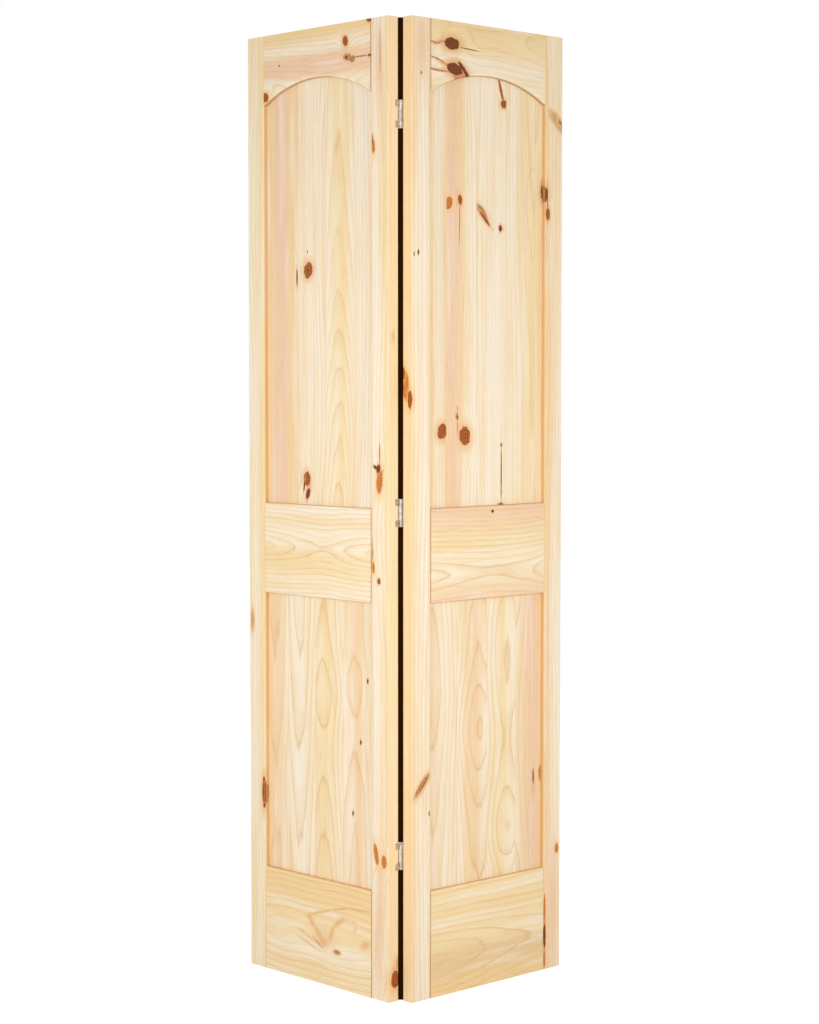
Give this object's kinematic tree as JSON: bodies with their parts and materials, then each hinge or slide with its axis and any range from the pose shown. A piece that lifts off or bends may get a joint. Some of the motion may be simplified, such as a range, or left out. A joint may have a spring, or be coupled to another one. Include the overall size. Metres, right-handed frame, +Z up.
{
  "type": "bifold closet door",
  "caption": "Clear pine bifold closet door, two hinged leaves each with an arched upper panel and a square lower panel, standing folded in a V.",
  "frame": {"origin": "bottom centre of the box round the door as it stands folded in its V, at floor level", "axes": "+Z up along the stiles; X across the V, left jamb leaf at low X and right lead leaf at high X; the hinged apex points towards -Y and the free edges towards +Y"},
  "size_m": [0.674, 0.3426, 2.007],
  "materials": {
    "pine_frame": "sanded bare pine with small knots",
    "pine_panel": "sanded bare pine, edge-glued staves",
    "hinge_steel": "zinc-plated pressed steel, dull",
    "screw_steel": "zinc-plated steel"
  },
  "bodies": {
    "jamb_leaf": {"left_hinge_stile": "pine_frame", "left_jamb_stile": "pine_frame", "left_top_rail": "pine_frame", "left_mid_rail": "pine_frame", "left_bottom_rail": "pine_frame", "left_upper_panel": "pine_panel", "left_lower_panel": "pine_panel", "left_hinge_screws": "screw_steel", "top_hinge_left_plate": "hinge_steel", "top_hinge_pin": "hinge_steel", "mid_hinge_left_plate": "hinge_steel", "mid_hinge_pin": "hinge_steel", "low_hinge_left_plate": "hinge_steel", "low_hinge_pin": "hinge_steel"},
    "lead_leaf": {"right_hinge_stile": "pine_frame", "right_lead_stile": "pine_frame", "right_top_rail": "pine_frame", "right_mid_rail": "pine_frame", "right_bottom_rail": "pine_frame", "right_upper_panel": "pine_panel", "right_lower_panel": "pine_panel", "right_hinge_screws": "screw_steel", "top_hinge_right_plate": "hinge_steel", "mid_hinge_right_plate": "hinge_steel", "low_hinge_right_plate": "hinge_steel"}
  },
  "joints": [
    {"name": "leaf_fold", "type": "hinge", "parent": "jamb_leaf", "child": "lead_leaf", "pos_m": [0, -0.15058, 0], "axis": [0, 0, 1], "range_deg": [-92, 88]}
  ]
}
